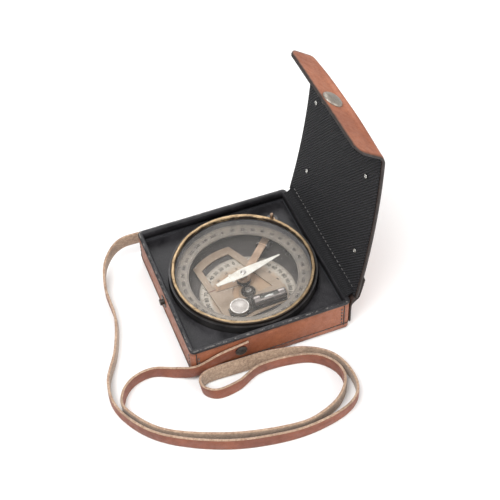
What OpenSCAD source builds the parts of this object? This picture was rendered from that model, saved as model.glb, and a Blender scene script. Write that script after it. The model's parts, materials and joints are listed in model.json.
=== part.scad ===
// Pocket clinometer compass in a leather case with a carrying strap.
// Origin: centre of the case's bottom face. +Z up, +X towards the lid's hinge.

/* [Case] */
// Outer size of the case from the snap side to the hinge side
case_x = 104; // [102:1:110]
// Outer size of the case from front to back
case_y = 106; // [104:1:112]
// Height of the leather walls, without the bound rim
wall_h = 24; // [23:0.5:25]
// Thickness of the leather in the walls
leather_t = 2; // [1.6:0.1:2.2]
// Thickness of the cloth lining
cloth_t = 0.8; // [0.5:0.1:0.9]
// Height of the black corner filler around the compass
insert_h = 16.5; // [12:0.5:19]

/* [Lid] */
// Length of the lid from its hinge line to the flap's fold
lid_len = 108.2; // [107:0.1:110]
// Width of the lid at the hinge
lid_w = 105; // [100:1:106]
// Width of the lid at the fold
fold_w = 96; // [88:1:102]
// How far the lid leans back beyond upright
lid_lean = 7; // [0:1:40]
// Depth of the closing flap
flap_len = 19; // [17:0.5:21]
// Bend between the lid and the flap
flap_bend = 63; // [20:1:88]
// Distance of the snap from the fold
snap_u = 11.6; // [10:0.1:12]

/* [Compass] */
// Outer radius of the round housing
housing_r = 47.4; // [46.8:0.1:47.6]
// Outer radius of the brass bezel
bezel_r = 46; // [45:0.1:46.5]
// Inner radius of the graduated ring
ring_in_r = 35; // [33:0.5:37]
// Length of the needle's long arm
needle_long = 27.6; // [20:0.1:31]
// Length of the needle's blunt arm
needle_short = 19.6; // [15:0.1:28]
// Direction of the needle's long arm
needle_dir = 11; // [0:1:360]

/* [Clinometer] */
// Distance of the clinometer's pivot in front of the needle's post
pivot_back = 8.2; // [8:0.1:8.6]
// Radius of the clinometer arm's outer arc
arm_r = 41.2; // [38:0.1:41.3]
// Radius of the silvered clinometer scale
scale_r = 31.3; // [28:0.1:32]

/* [Strap] */
// Width of the strap
strap_w = 9; // [8:0.5:10]
// Thickness of the strap
strap_t = 2.2; // [1.8:0.1:2.4]

/* [Hidden] */
$fn = 96;

// Case levels and inner sizes
floor_t = 1.8;
lining_top = floor_t + cloth_t;
well_x = case_x - 2 * leather_t;
well_y = case_y - 2 * leather_t;
free_x = well_x - 2 * cloth_t;
free_y = well_y - 2 * cloth_t;
rim_top = wall_h + 1.2;
corner_r = 3;

// Snap: stud through the wall, washer behind it, cap and socket in the flap
stud_r = 1.8;
backing_r = 4;
backing_t = 0.6;
snap_bore_r = 2.3;
snap_cap_r = 6.5;

// Lid hinge line, fold line and the shallow bow of the lid
hinge_x = case_x / 2 + 2.4;
hinge_z = rim_top + 0.4;
lid_gap = 0.6;
bow = 2.4;
bow_half = lid_len / 2;
bow_r = (bow_half * bow_half + bow * bow) / (2 * bow);
lid_t = 2.8;
flap_t = 2.4;
flap_corner_r = 6;
lid_shank_r = 0.7;
snap_z = hinge_z - snap_u;

// Strap rivets sit at the same place on the front and back walls
rivet_x = -21.3;
rivet_z = 15.8;
rivet_r = 3.7;
shank_r = 1.5;
wall_gap = 0.2;

// Compass axis and levels
comp_x = 1.4;
base_z = 2.7;
deck_bottom = 4.6;
deck_top = 5.6;
skirt_r = 40;
chamber_r = 42.4;
seat_z = 15.2;
upper_r = 44.2;
collar_z = 21.7;
ring_top = seat_z + 1.2;
glass_z = 20.3;
glass_r = 44;
bezel_in_r = 43.4;
bezel_round = 0.8;
bezel_top = 24;
floor_top = deck_top + 0.4;
scale_top = floor_top + 0.4;
scale_cut = 7;
band_in_r = 23;
band_drop = 13.5;
needle_z = 17.6;
needle_bore_r = 1.6;
jewel_r = 0.9;
post_r = 1.3;
foot_r = 1.6;

// Needle lock: the push pin stands outside the bezel at 45 degrees
lock_dir = 45;
pin_rad = 46.8;
pin_r = 1.2;
pin_top = 26.6;
pin_collar_z = 18.6;
pin_bush_r = 2.1;
ear_r = 4;
lever_z = 12.4;
lever_t = 0.8;
lever_w = 5;
fulcrum_rad = 31;
fulcrum_r = 0.45;
fulcrum_z = lever_z + lever_t / 2;
slot_top = 14.4;
spring_seat = slot_top + 0.6;

// Clinometer levels
arm_z = scale_top + 0.4;
arm_top = arm_z + 0.8;
bracket_top = arm_top + 0.8;
spindle_r = 2;
bush_r = 3.6;
knob_z = 2.95;
hub_r = 6;
boss_r = 4.6;
tube_r = 3.1;
vial_r = 2.4;
tube_z = 11.2;
tube_y = -11.6;
tube_x0 = -0.6;
tube_x1 = 20;
cup_x = -10.3;
cup_y = -11.5;
cup_r = 6.1;
lens_r = 5.3;
lens_z = 9.6;

// Route of the strap's middle line: front rivet, two rounds on the table, back rivet
strap_route = [
    [-16, -54.3, 16.4], [-34, -54.3, 13.6], [-50, -54.3, 8.6], [-61, -48.5, 5.2],
    [-74, -42.5, 4.6], [-87, -44.5, 4.6], [-96, -53, 4.6], [-97, -65, 4.6],
    [-80, -87, 4.6], [-44, -104, 4.6], [-8, -111.5, 4.6], [11, -109, 4.6],
    [24.5, -101.5, 4.6], [31.5, -90, 4.6], [28, -77, 4.6], [15, -67.5, 4.6],
    [-12, -64.5, 4.6], [-29, -71, 4.6], [-43, -72, 4.6], [-50, -65.5, 4.6],
    [-46, -58.3, 4.6], [-28, -57.4, 4.6], [-4, -58.6, 4.6], [17, -64, 4.6],
    [31, -74, 4.6], [36.4, -89, 4.6], [33.5, -104, 4.6], [18, -113, 4.6],
    [-12, -115.4, 4.6], [-50, -107, 4.6], [-84, -88, 4.6], [-101, -64, 4.6],
    [-102, -42, 4.6], [-91, -20, 4.6], [-83.5, 4, 4.6], [-82.5, 30, 4.8],
    [-77, 48, 8.6], [-65, 56.4, 14.6], [-48, 55, 17.6], [-17, 54.3, 15.8]];
rings_per_span = 2;

// Catmull-Rom interpolation of the route
function route_at(i) = strap_route[max(0, min(len(strap_route) - 1, i))];
function spline(a, b, c, d, t) =
    0.5 * (2 * b + (c - a) * t + (2 * a - 5 * b + 4 * c - d) * t * t
    + (3 * b - a - 3 * c + d) * t * t * t);
function strap_path() = [
    for (i = [0 : len(strap_route) - 2], k = [0 : rings_per_span - 1])
        spline(route_at(i - 1), route_at(i), route_at(i + 1), route_at(i + 2),
            k / rings_per_span),
    strap_route[len(strap_route) - 1]];
function flat_unit(v) = [v.x, v.y, 0] / norm([v.x, v.y]);
function side_of(path, i) =
    let (d = flat_unit(path[min(i + 1, len(path) - 1)] - path[max(i - 1, 0)]))
    [-d.y, d.x, 0];
function band_section(w, t) = [
    [t / 2, -w / 2 + 0.8], [t / 2, w / 2 - 0.8], [t / 2 - 0.6, w / 2], [-t / 2 + 0.6, w / 2],
    [-t / 2, w / 2 - 0.8], [-t / 2, -w / 2 + 0.8], [-t / 2 + 0.6, -w / 2],
    [t / 2 - 0.6, -w / 2]];

// ---- helpers ----
module compass_frame() { translate([comp_x, 0, 0]) children(); }
module clino_frame() { translate([comp_x, -pivot_back, 0]) children(); }
module lock_frame() { compass_frame() rotate([0, 0, lock_dir]) children(); }
module lid_frame() {
    translate([hinge_x, 0, hinge_z]) rotate([0, lid_lean - 90, 0]) children();
}
module flap_frame() {
    lid_frame() translate([lid_len, 0, 0]) rotate([0, -flap_bend, 0]) children();
}
module tube_between(r_in, r_out, z0, z1) {
    difference() {
        translate([0, 0, z0]) cylinder(r = r_out, h = z1 - z0);
        translate([0, 0, z0 - 1]) cylinder(r = r_in, h = z1 - z0 + 2);
    }
}
module disc(r, z0, z1) { translate([0, 0, z0]) cylinder(r = r, h = z1 - z0); }
module rounded_box(x, y, z0, z1, r) {
    translate([0, 0, z0]) linear_extrude(z1 - z0) union() {
        square([x - 2 * r, y], center = true);
        square([x, y - 2 * r], center = true);
        for (sx = [-1, 1], sy = [-1, 1])
            translate([sx * (x / 2 - r), sy * (y / 2 - r)]) circle(r);
    }
}
// A headed rivet along +Y with its head outside, at y = 0
module strap_rivet() {
    rotate([-90, 0, 0]) {
        cylinder(r = rivet_r, h = 0.7);
        translate([0, 0, 0.7]) cylinder(r1 = rivet_r, r2 = 2.6, h = 0.6);
        translate([0, 0, -strap_t - wall_gap - leather_t]) cylinder(r = shank_r, h = 3.5 + strap_t);
    }
}

// ---- case ----
module case_body() {
    color("peru") difference() {
        rounded_box(case_x, case_y, 0, wall_h, corner_r);
        translate([-well_x / 2, -well_y / 2, floor_t]) cube([well_x, well_y, wall_h]);
        for (s = [-1, 1])
            translate([rivet_x, s * case_y / 2, rivet_z]) rotate([90, 0, 0])
                cylinder(r = shank_r, h = 4 * leather_t, center = true);
        translate([-case_x / 2, 0, snap_z]) rotate([0, 90, 0])
            cylinder(r = stud_r, h = 4 * leather_t, center = true);
        translate([-well_x / 2 - backing_t, 0, snap_z]) rotate([0, 90, 0])
            cylinder(r = backing_r, h = 5);
    }
}
module case_lining() {
    color("black") difference() {
        translate([-well_x / 2, -well_y / 2, floor_t]) cube([well_x, well_y, wall_h - floor_t]);
        translate([-free_x / 2, -free_y / 2, lining_top]) cube([free_x, free_y, wall_h]);
    }
}
module rim_binding() {
    color("dimgray") difference() {
        rounded_box(case_x, case_y, wall_h, rim_top, corner_r);
        translate([-free_x / 2, -free_y / 2, wall_h - 1]) cube([free_x, free_y, 5]);
    }
}
module insert_block() {
    color("black") difference() {
        translate([-free_x / 2, -free_y / 2, lining_top])
            cube([free_x, free_y, insert_h - lining_top]);
        compass_frame() disc(housing_r + 0.5, 0, 30);
        lock_frame() translate([pin_rad, 0, 0]) disc(ear_r + 0.5, 0, 30);
    }
}
module hinge_strip() {
    color("sienna") translate([case_x / 2, -lid_w / 2, 4]) cube([1.4, lid_w, 17.5]);
}
module snap_stud() {
    color("gray") translate([-case_x / 2, 0, snap_z]) rotate([0, -90, 0]) {
        cylinder(r = 4.2, h = 0.5);
        translate([0, 0, backing_t - leather_t])
            cylinder(r = stud_r, h = 2 + leather_t - backing_t);
        translate([0, 0, 2]) cylinder(r = 2, h = 0.9);
    }
}
module stud_backing() {
    color("gray") translate([-well_x / 2 - backing_t, 0, snap_z]) rotate([0, 90, 0])
        cylinder(r = backing_r, h = backing_t);
}
module front_rivet() {
    color("dimgray") translate([rivet_x, -case_y / 2 - wall_gap - strap_t, rivet_z])
        rotate([0, 0, 180]) strap_rivet();
}
module back_rivet() {
    color("dimgray") translate([rivet_x, case_y / 2 + wall_gap + strap_t, rivet_z])
        strap_rivet();
}
module strap() {
    path = strap_path();
    section = band_section(strap_w, strap_t);
    n = len(section);
    points = [for (i = [0 : len(path) - 1], q = section)
        path[i] + side_of(path, i) * q.x + [0, 0, q.y]];
    sides = [for (i = [0 : len(path) - 2], k = [0 : n - 1])
        [i * n + k, i * n + (k + 1) % n, (i + 1) * n + (k + 1) % n, (i + 1) * n + k]];
    first = [for (k = [n - 1 : -1 : 0]) k];
    last = [for (k = [0 : n - 1]) (len(path) - 1) * n + k];
    color("chocolate") polyhedron(points, concat(sides, [first, last]), convexity = 10);
}

// ---- lid and flap, drawn flat with +X from the hinge to the free edge ----
module lid_outline(inset) {
    translate([0, 0, -20]) linear_extrude(40) polygon([
        [lid_gap, -lid_w / 2 + inset], [lid_len - lid_gap, -fold_w / 2 + inset],
        [lid_len - lid_gap, fold_w / 2 - inset], [lid_gap, lid_w / 2 - inset]]);
}
module lid_layer(t0, t1, inset) {
    intersection() {
        lid_outline(inset);
        translate([bow_half, 0, bow_r - bow]) rotate([90, 0, 0]) difference() {
            cylinder(r = bow_r + t1, h = 2 * lid_w, center = true, $fn = 720);
            cylinder(r = bow_r + t0, h = 3 * lid_w, center = true, $fn = 720);
        }
    }
}
// Rivet positions on the lid: distance from the hinge, distance from the middle
lid_rivet_spots = [[84, 36], [30, 34], [85, -34], [29, -39]];
function bow_at(u) = bow * (1 - pow((u - bow_half) / bow_half, 2));
module at_lid_rivets() {
    for (s = lid_rivet_spots) translate([s.x, s.y, -bow_at(s.x)]) children();
}
module lid_leather() {
    color("peru") lid_frame() difference() {
        lid_layer(cloth_t, lid_t, 0);
        at_lid_rivets() cylinder(r = lid_shank_r, h = 12, center = true);
    }
}
module lid_lining() {
    color("black") lid_frame() difference() {
        lid_layer(0, cloth_t, 1.2);
        at_lid_rivets() cylinder(r = lid_shank_r, h = 12, center = true);
    }
}
module lid_rivets() {
    color("silver") lid_frame() at_lid_rivets() {
        translate([0, 0, 0.12]) cylinder(r = 1.5, h = 0.3);
        translate([0, 0, -lid_t - 0.2]) cylinder(r = lid_shank_r, h = lid_t + 0.4);
        translate([0, 0, -lid_t - 0.8]) cylinder(r = 2.2, h = 0.6);
    }
}
module flap_shape(t0, t1, inset) {
    half = fold_w / 2 - inset;
    reach = flap_len - inset;
    translate([0, 0, -t1]) linear_extrude(t1 - t0) union() {
        translate([0, -half]) square([reach - flap_corner_r, 2 * half]);
        translate([0, -half + flap_corner_r]) square([reach, 2 * (half - flap_corner_r)]);
        for (s = [-1, 1]) translate([reach - flap_corner_r, s * (half - flap_corner_r)])
            circle(flap_corner_r);
    }
}
module flap_leather() {
    color("peru") flap_frame() difference() {
        flap_shape(cloth_t, flap_t, 0);
        translate([snap_u, 0, 0]) cylinder(r = snap_bore_r, h = 12, center = true);
    }
}
module flap_lining() {
    color("black") flap_frame() difference() {
        flap_shape(0, cloth_t, 1);
        translate([snap_u, 0, 0]) cylinder(r = snap_bore_r, h = 12, center = true);
    }
}
module snap_cap() {
    color("silver") flap_frame() translate([snap_u, 0, -flap_t]) rotate([180, 0, 0])
        rotate_extrude() intersection() {
            translate([0, -14]) circle(15.6);
            square([snap_cap_r, 3]);
        }
}
module snap_socket() {
    color("silver") flap_frame() translate([snap_u, 0, 0]) tube_between(snap_bore_r, 5, 0, 0.9);
}

// ---- compass ----
module housing() {
    color("#202020") difference() {
        lock_frame() translate([0, 0, base_z]) linear_extrude(collar_z - base_z) union() {
            circle(housing_r);
            translate([pin_rad, 0]) circle(ear_r);
        }
        compass_frame() {
            disc(skirt_r, base_z - 1, deck_bottom);
            disc(chamber_r, deck_top, seat_z + 1);
            disc(upper_r, seat_z, collar_z + 1);
        }
        clino_frame() disc(bush_r, 0, 10);
        lock_frame() {
            translate([39, -2.8, 10]) cube([9.2, 5.6, slot_top - 10]);
            translate([pin_rad, 0, 0]) {
                disc(pin_r + 0.05, slot_top - 1, 30);
                disc(pin_bush_r, spring_seat, collar_z + 1);
            }
        }
    }
}
module bezel_ring() {
    color("goldenrod") difference() {
        compass_frame() rotate_extrude() union() {
            translate([bezel_in_r, collar_z])
                square([bezel_r - bezel_in_r, bezel_top - collar_z - bezel_round]);
            translate([bezel_in_r + bezel_round, collar_z])
                square([bezel_r - bezel_in_r - 2 * bezel_round, bezel_top - collar_z]);
            translate([bezel_in_r + bezel_round, bezel_top - bezel_round]) circle(bezel_round);
            translate([bezel_r - bezel_round, bezel_top - bezel_round]) circle(bezel_round);
        }
        lock_frame() translate([pin_rad, 0, 0]) disc(pin_r + 0.1, base_z, pin_top);
    }
}
module glass() { color("lightcyan", 0.3) compass_frame() disc(glass_r, glass_z, collar_z); }
module spacer_ring() {
    color("slategray") compass_frame() tube_between(glass_r - 1, glass_r, ring_top, glass_z);
}
module graduated_ring() {
    color("tan") compass_frame() tube_between(ring_in_r, glass_r, seat_z, ring_top);
}
module floor_plate() {
    color("#383838") difference() {
        compass_frame() disc(42.2, deck_top, floor_top);
        compass_frame() disc(foot_r, 0, 10);
        clino_frame() disc(bush_r, 0, 10);
    }
}
// Half disc with a scale band that runs on below it on both sides
module scale_plate() {
    color("wheat") difference() {
        clino_frame() translate([0, 0, floor_top]) linear_extrude(scale_top - floor_top)
            difference() {
                circle(scale_r);
                translate([-60, -60]) square([120, 60 - scale_cut]);
            }
        compass_frame() disc(foot_r, 0, 10);
        clino_frame() disc(bush_r, 0, 10);
    }
    color("wheat") clino_frame() translate([0, 0, floor_top])
        linear_extrude(scale_top - floor_top) intersection() {
            difference() {
                circle(scale_r);
                circle(band_in_r);
            }
            translate([-60, -scale_cut - band_drop]) square([120, band_drop]);
        }
}
module needle_post() {
    color("dimgray") compass_frame() {
        disc(foot_r, deck_top, 9.5);
        disc(4.6, 9.5, 10.5);
        disc(post_r, 10.5, 15.6);
    }
}
module pivot_point() {
    color("silver") compass_frame() {
        disc(0.5, 15.6, 16.4);
        translate([0, 0, 16.4]) cylinder(r1 = 0.5, r2 = 0.08, h = 0.9);
    }
}
module spindle_bush() {
    color("goldenrod") clino_frame() tube_between(spindle_r + 0.05, bush_r, deck_bottom, scale_top);
}
module pin_bush() {
    color("goldenrod") lock_frame() translate([pin_rad, 0, 0])
        tube_between(pin_r + 0.05, pin_bush_r, 20.2, collar_z);
}
// Return spring: coil of eight-sided wire around the push pin, under its collar
spring_turns = 5;
spring_steps = 60;
module pin_spring() {
    wire = 0.16;
    coil = 1.7;
    z0 = spring_seat + wire;
    rise = pin_collar_z - spring_seat - 2 * wire;
    points = [for (i = [0 : spring_steps], k = [0 : 7])
        let (a = 360 * spring_turns * i / spring_steps, r = coil + wire * cos(45 * k))
        [r * cos(a), r * sin(a), z0 + rise * i / spring_steps + wire * sin(45 * k)]];
    sides = [for (i = [0 : spring_steps - 1], k = [0 : 7])
        [i * 8 + k, i * 8 + (k + 1) % 8, (i + 1) * 8 + (k + 1) % 8, (i + 1) * 8 + k]];
    first = [for (k = [7 : -1 : 0]) k];
    last = [for (k = [0 : 7]) spring_steps * 8 + k];
    color("silver") lock_frame() translate([pin_rad, 0, 0])
        polyhedron(points, concat(sides, [first, last]), convexity = 10);
}
module lever_bracket() {
    color("dimgray") lock_frame() difference() {
        union() {
            intersection() {
                translate([29, -4.2, 10.4]) cube([20, 8.4, 0.8]);
                disc(chamber_r, 0, 20);
            }
            for (s = [-1, 1])
                translate([29, s * 3.7 - 0.5, 11.2]) cube([4, 1, 2.6]);
        }
        translate([fulcrum_rad, 0, fulcrum_z]) rotate([90, 0, 0])
            cylinder(r = fulcrum_r, h = 20, center = true);
    }
}
module lever_pin() {
    color("silver") lock_frame() translate([fulcrum_rad, 0, fulcrum_z]) rotate([90, 0, 0])
        cylinder(r = fulcrum_r, h = 8.8, center = true);
}
module plate_screws() {
    color("silver") compass_frame() for (a = [20, 200, 290])
        rotate([0, 0, a]) translate([38.6, 0, 0]) difference() {
            disc(1.3, floor_top, floor_top + 0.7);
            translate([-2, -0.2, floor_top + 0.35]) cube([4, 0.4, 1]);
        }
}

// ---- needle lock ----
module lift_pin() {
    color("goldenrod") lock_frame() translate([pin_rad, 0, 0]) {
        disc(pin_r, lever_z + lever_t + 0.1, pin_top - 0.5);
        translate([0, 0, pin_top - 0.5]) cylinder(r1 = pin_r, r2 = 0.8, h = 0.5);
        disc(1.9, pin_collar_z, pin_collar_z + 0.8);
    }
}
module lift_lever() {
    color("goldenrod") lock_frame() difference() {
        union() {
            translate([3, -lever_w / 2, lever_z]) cube([45, lever_w, lever_t]);
            disc(4.4, lever_z, lever_z + lever_t);
            translate([fulcrum_rad, 0, fulcrum_z]) rotate([90, 0, 0])
                cylinder(r = 1, h = lever_w, center = true);
        }
        disc(2.2, 0, 20);
        translate([fulcrum_rad, 0, fulcrum_z]) rotate([90, 0, 0])
            cylinder(r = fulcrum_r + 0.05, h = 20, center = true);
    }
}
module lift_sleeve() {
    color("goldenrod") compass_frame() tube_between(post_r + 0.06, 2.6, 13.45, 15.2);
}

// ---- needle ----
module needle_frame() { compass_frame() rotate([0, 0, needle_dir]) children(); }
module needle_blade() {
    color("white") needle_frame() translate([0, 0, needle_z]) linear_extrude(0.4) difference() {
        polygon([[needle_long, 0.4], [2, 3.4], [-2, 3.4], [-needle_short, 1], [-needle_short, -1],
            [-2, -3.4], [2, -3.4], [needle_long, -0.4]]);
        circle(needle_bore_r);
    }
}
module needle_cap() {
    color("silver") needle_frame() {
        tube_between(jewel_r, needle_bore_r, 16.2, needle_z + 0.4);
        disc(2, needle_z + 0.4, 18.3);
        translate([0, 0, 18.3]) cylinder(r1 = 1.7, r2 = 1, h = 0.5);
    }
}
module needle_jewel() {
    color("crimson") needle_frame() disc(jewel_r, 17.35, needle_z + 0.4);
}
module balance_weight() {
    color("goldenrod") needle_frame() difference() {
        translate([-9.5, -3.1, needle_z - 0.4]) cube([1.6, 6.2, 1.2]);
        translate([-10, -2.7, needle_z]) cube([3, 5.4, 0.4]);
    }
}

// ---- clinometer, drawn from its own pivot ----
module arm_plate() {
    color("burlywood") clino_frame() translate([0, 0, arm_z]) linear_extrude(arm_top - arm_z)
        difference() {
            intersection() {
                circle(arm_r);
                polygon([[-28, 44], [-21.3, -10.7], [-19.5, -17], [-11, -20], [3, -18],
                    [23, -15.5], [24, -4], [22.5, 0], [0.6, 44]]);
            }
            difference() {
                intersection() {
                    circle(35.3);
                    polygon([[-22.9, 38], [-1.8, 38], [16.2, -0.7], [7, -2], [0, 0], [-3.6, 7.8],
                        [-19.1, 7.8]]);
                }
                circle(hub_r);
            }
            // arc slot that clears the needle's post over the whole swing
            intersection() {
                difference() {
                    circle(10.2);
                    circle(hub_r);
                }
                polygon([[0, 0], [30, -6], [30, 30], [-30, 30], [-30, -8]]);
            }
            circle(spindle_r);
        }
}
module clino_spindle() { color("silver") clino_frame() disc(spindle_r, knob_z, arm_top); }
module hub_boss() {
    color("#303030") clino_frame() {
        disc(boss_r, arm_top, 8.6);
        translate([0, 0, 8.6]) cylinder(r1 = 4.2, r2 = 3.6, h = 0.8);
    }
}
module hub_screw() {
    color("silver") clino_frame() difference() {
        disc(2, 9.4, 10.2);
        rotate([0, 0, 30]) translate([-3, -0.25, 9.8]) cube([6, 0.5, 1]);
    }
}
module level_bracket() {
    color("#303030") clino_frame() difference() {
        union() {
            translate([0, 0, arm_top]) linear_extrude(bracket_top - arm_top) polygon([
                [-5, -4.8], [-17, -9], [-17.5, -16], [-11, -18.5], [-1, -16], [21, -15.5],
                [21, -6], [5, -4.8]]);
            for (x = [1.6, 15.6]) translate([x, tube_y - 2.4, bracket_top])
                cube([2.4, 4.8, tube_z - bracket_top]);
        }
        translate([-10, tube_y, tube_z]) rotate([0, 90, 0]) cylinder(r = tube_r, h = 40);
        disc(boss_r, 0, 20);
    }
}
module level_tube() {
    color("slategray") clino_frame() translate([tube_x0, tube_y, tube_z]) rotate([0, 90, 0])
        difference() {
            cylinder(r = tube_r, h = tube_x1 - tube_x0);
            translate([0, 0, -1]) cylinder(r = vial_r, h = 40);
            translate([-8, -1.5, 4]) cube([8, 3, tube_x1 - tube_x0 - 8]);
        }
}
module level_vial() {
    color("palegreen", 0.4) clino_frame() translate([tube_x0 + 1.2, tube_y, tube_z])
        rotate([0, 90, 0]) cylinder(r = vial_r, h = tube_x1 - tube_x0 - 2.4);
}
module level_caps() {
    color("#202020") clino_frame() translate([0, tube_y, tube_z]) rotate([0, 90, 0])
        for (x = [tube_x0, tube_x1 - 1.2]) {
            translate([0, 0, x]) cylinder(r = vial_r, h = 1.2);
            translate([0, 0, x == tube_x0 ? x - 0.8 : x + 1.2]) cylinder(r = tube_r, h = 0.8);
        }
}
module round_level_cup() {
    color("silver") clino_frame() translate([cup_x, cup_y, 0])
        tube_between(lens_r, cup_r, bracket_top, 11.6);
}
module round_level_backing() {
    color("white") clino_frame() translate([cup_x, cup_y, 0]) disc(lens_r, bracket_top, lens_z);
}
module round_level_glass() {
    color("honeydew", 0.5) clino_frame() translate([cup_x, cup_y, lens_z]) rotate_extrude()
        intersection() {
            translate([0, -12]) circle(14.6);
            square([lens_r, 5]);
        }
}
module setting_knob() {
    color("goldenrod") clino_frame() difference() {
        disc(9, knob_z, 4.3);
        disc(spindle_r, 0, 10);
        for (a = [0 : 45 : 315])
            rotate([0, 0, a]) translate([10.4, 0, 0]) disc(2.4, 0, 10);
    }
}

case_body();
case_lining();
rim_binding();
insert_block();
hinge_strip();
snap_stud();
stud_backing();
front_rivet();
back_rivet();
strap();
lid_leather();
lid_lining();
lid_rivets();
flap_leather();
flap_lining();
snap_cap();
snap_socket();
housing();
bezel_ring();
glass();
spacer_ring();
graduated_ring();
floor_plate();
scale_plate();
needle_post();
pivot_point();
spindle_bush();
pin_bush();
pin_spring();
lever_bracket();
lever_pin();
plate_screws();
lift_pin();
lift_lever();
lift_sleeve();
needle_blade();
needle_cap();
needle_jewel();
balance_weight();
arm_plate();
clino_spindle();
hub_boss();
hub_screw();
level_bracket();
level_tube();
level_vial();
level_caps();
round_level_cup();
round_level_backing();
round_level_glass();
setting_knob();
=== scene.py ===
"""Leather-cased clinometer compass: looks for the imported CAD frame. Metres, +Z up."""
import json
import math
import random

import bpy
from mathutils import Matrix, Vector, noise


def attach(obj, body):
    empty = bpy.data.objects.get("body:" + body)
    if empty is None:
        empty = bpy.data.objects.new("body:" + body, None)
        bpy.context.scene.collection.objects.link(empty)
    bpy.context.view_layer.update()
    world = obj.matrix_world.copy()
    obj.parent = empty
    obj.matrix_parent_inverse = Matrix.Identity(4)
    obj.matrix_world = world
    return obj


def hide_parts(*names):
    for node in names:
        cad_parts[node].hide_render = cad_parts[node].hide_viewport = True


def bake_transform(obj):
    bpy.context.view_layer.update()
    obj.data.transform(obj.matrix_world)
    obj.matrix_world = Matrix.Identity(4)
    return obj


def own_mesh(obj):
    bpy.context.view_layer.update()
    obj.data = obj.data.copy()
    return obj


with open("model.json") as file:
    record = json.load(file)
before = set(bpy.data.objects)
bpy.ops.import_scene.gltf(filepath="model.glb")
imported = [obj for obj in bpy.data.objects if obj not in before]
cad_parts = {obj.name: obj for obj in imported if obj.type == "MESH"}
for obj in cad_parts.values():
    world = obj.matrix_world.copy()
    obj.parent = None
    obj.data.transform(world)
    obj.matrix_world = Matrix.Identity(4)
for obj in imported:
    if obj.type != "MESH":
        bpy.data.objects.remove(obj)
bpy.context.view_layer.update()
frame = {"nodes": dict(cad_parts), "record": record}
rng = random.Random(7)

# ---------------------------------------------------------------- sizes, in metres
CASE_HX, CASE_HY, CASE_R = 0.052, 0.053, 0.003
WALL_H, RIM_TOP, CLOTH_T, FLOOR_T = 0.024, 0.0252, 0.0008, 0.0018
HINGE = Vector((0.0544, 0, 0.0256))
LID_LEAN, FLAP_BEND = math.radians(7), math.radians(63)
LID_LEN, LID_HALF, FOLD_HALF, LID_BOW = 0.1082, 0.0525, 0.048, 0.0024
LID_GAP, LID_T, FLAP_LEN, FLAP_T = 0.0006, 0.0028, 0.019, 0.0024
SNAP_U, FOLD_CUT, TAB_R = 0.0116, 0.003, 0.006
FOLD_BOW, BOW_ON_LID, BOW_ON_FLAP = 0.0024, 0.022, 0.005
HINGE_HALF, HINGE_CLOTH_HALF = 0.0522, 0.0488
SEAM_Z, WELT_R = 0.0052, 0.00042
COMPASS = Vector((0.0014, 0, 0))
PIVOT = Vector((0.0014, -0.0082, 0))
ROUND_LEVEL = PIVOT + Vector((-0.0103, -0.0115, 0))
RING_TOP, SCALE_TOP, ARM_TOP = 0.0164, 0.0064, 0.0076
STRAP_W, STRAP_T, STRAP_STEPS = 0.009, 0.0017, 10
RIB_ANGLE, RIB_PITCH, THREAD_PITCH = math.radians(40), 0.0015, 0.0011
X_AXIS, Y_AXIS, Z_AXIS = Vector((1, 0, 0)), Vector((0, 1, 0)), Vector((0, 0, 1))
LID_RIVETS = ((0.084, 0.036), (0.030, 0.034), (0.085, -0.034), (0.029, -0.039))

# The strap's route, the same points as the CAD route, in millimetres
STRAP_MM = [
    (-16, -54.3, 16.4), (-34, -54.3, 13.6), (-50, -54.3, 8.6), (-61, -48.5, 5.2),
    (-74, -42.5, 4.6), (-87, -44.5, 4.6), (-96, -53, 4.6), (-97, -65, 4.6),
    (-80, -87, 4.6), (-44, -104, 4.6), (-8, -111.5, 4.6), (11, -109, 4.6),
    (24.5, -101.5, 4.6), (31.5, -90, 4.6), (28, -77, 4.6), (15, -67.5, 4.6),
    (-12, -64.5, 4.6), (-29, -71, 4.6), (-43, -72, 4.6), (-50, -65.5, 4.6),
    (-46, -58.3, 4.6), (-28, -57.4, 4.6), (-4, -58.6, 4.6), (17, -64, 4.6),
    (31, -74, 4.6), (36.4, -89, 4.6), (33.5, -104, 4.6), (18, -113, 4.6),
    (-12, -115.4, 4.6), (-50, -107, 4.6), (-84, -88, 4.6), (-101, -64, 4.6),
    (-102, -42, 4.6), (-91, -20, 4.6), (-83.5, 4, 4.6), (-82.5, 30, 4.8),
    (-77, 48, 8.6), (-65, 56.4, 14.6), (-48, 55, 17.6), (-17, 54.3, 15.8)]


# ---------------------------------------------------------------- camera
def make_camera():
    """The camera solved from the photograph."""
    azimuth, elevation, roll = map(math.radians, (-19.597, 48.289, -2.295))
    back = Vector((math.sin(azimuth) * math.cos(elevation),
                   -math.cos(azimuth) * math.cos(elevation), math.sin(elevation)))
    right = (-back).cross(Z_AXIS).normalized()
    up = right.cross(-back)
    x_axis = math.cos(roll) * right + math.sin(roll) * up
    y_axis = -math.sin(roll) * right + math.cos(roll) * up
    data = bpy.data.cameras.new("camera")
    data.sensor_width, data.lens = 36, 78.96
    data.clip_start, data.clip_end = 0.01, 10
    camera = bpy.data.objects.new("camera", data)
    bpy.context.collection.objects.link(camera)
    turn = Matrix((x_axis, y_axis, back)).transposed().to_4x4()
    camera.matrix_world = Matrix.Translation((-0.14642, -0.42974, 0.54895)) @ turn
    bpy.context.scene.camera = camera


make_camera()


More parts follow.
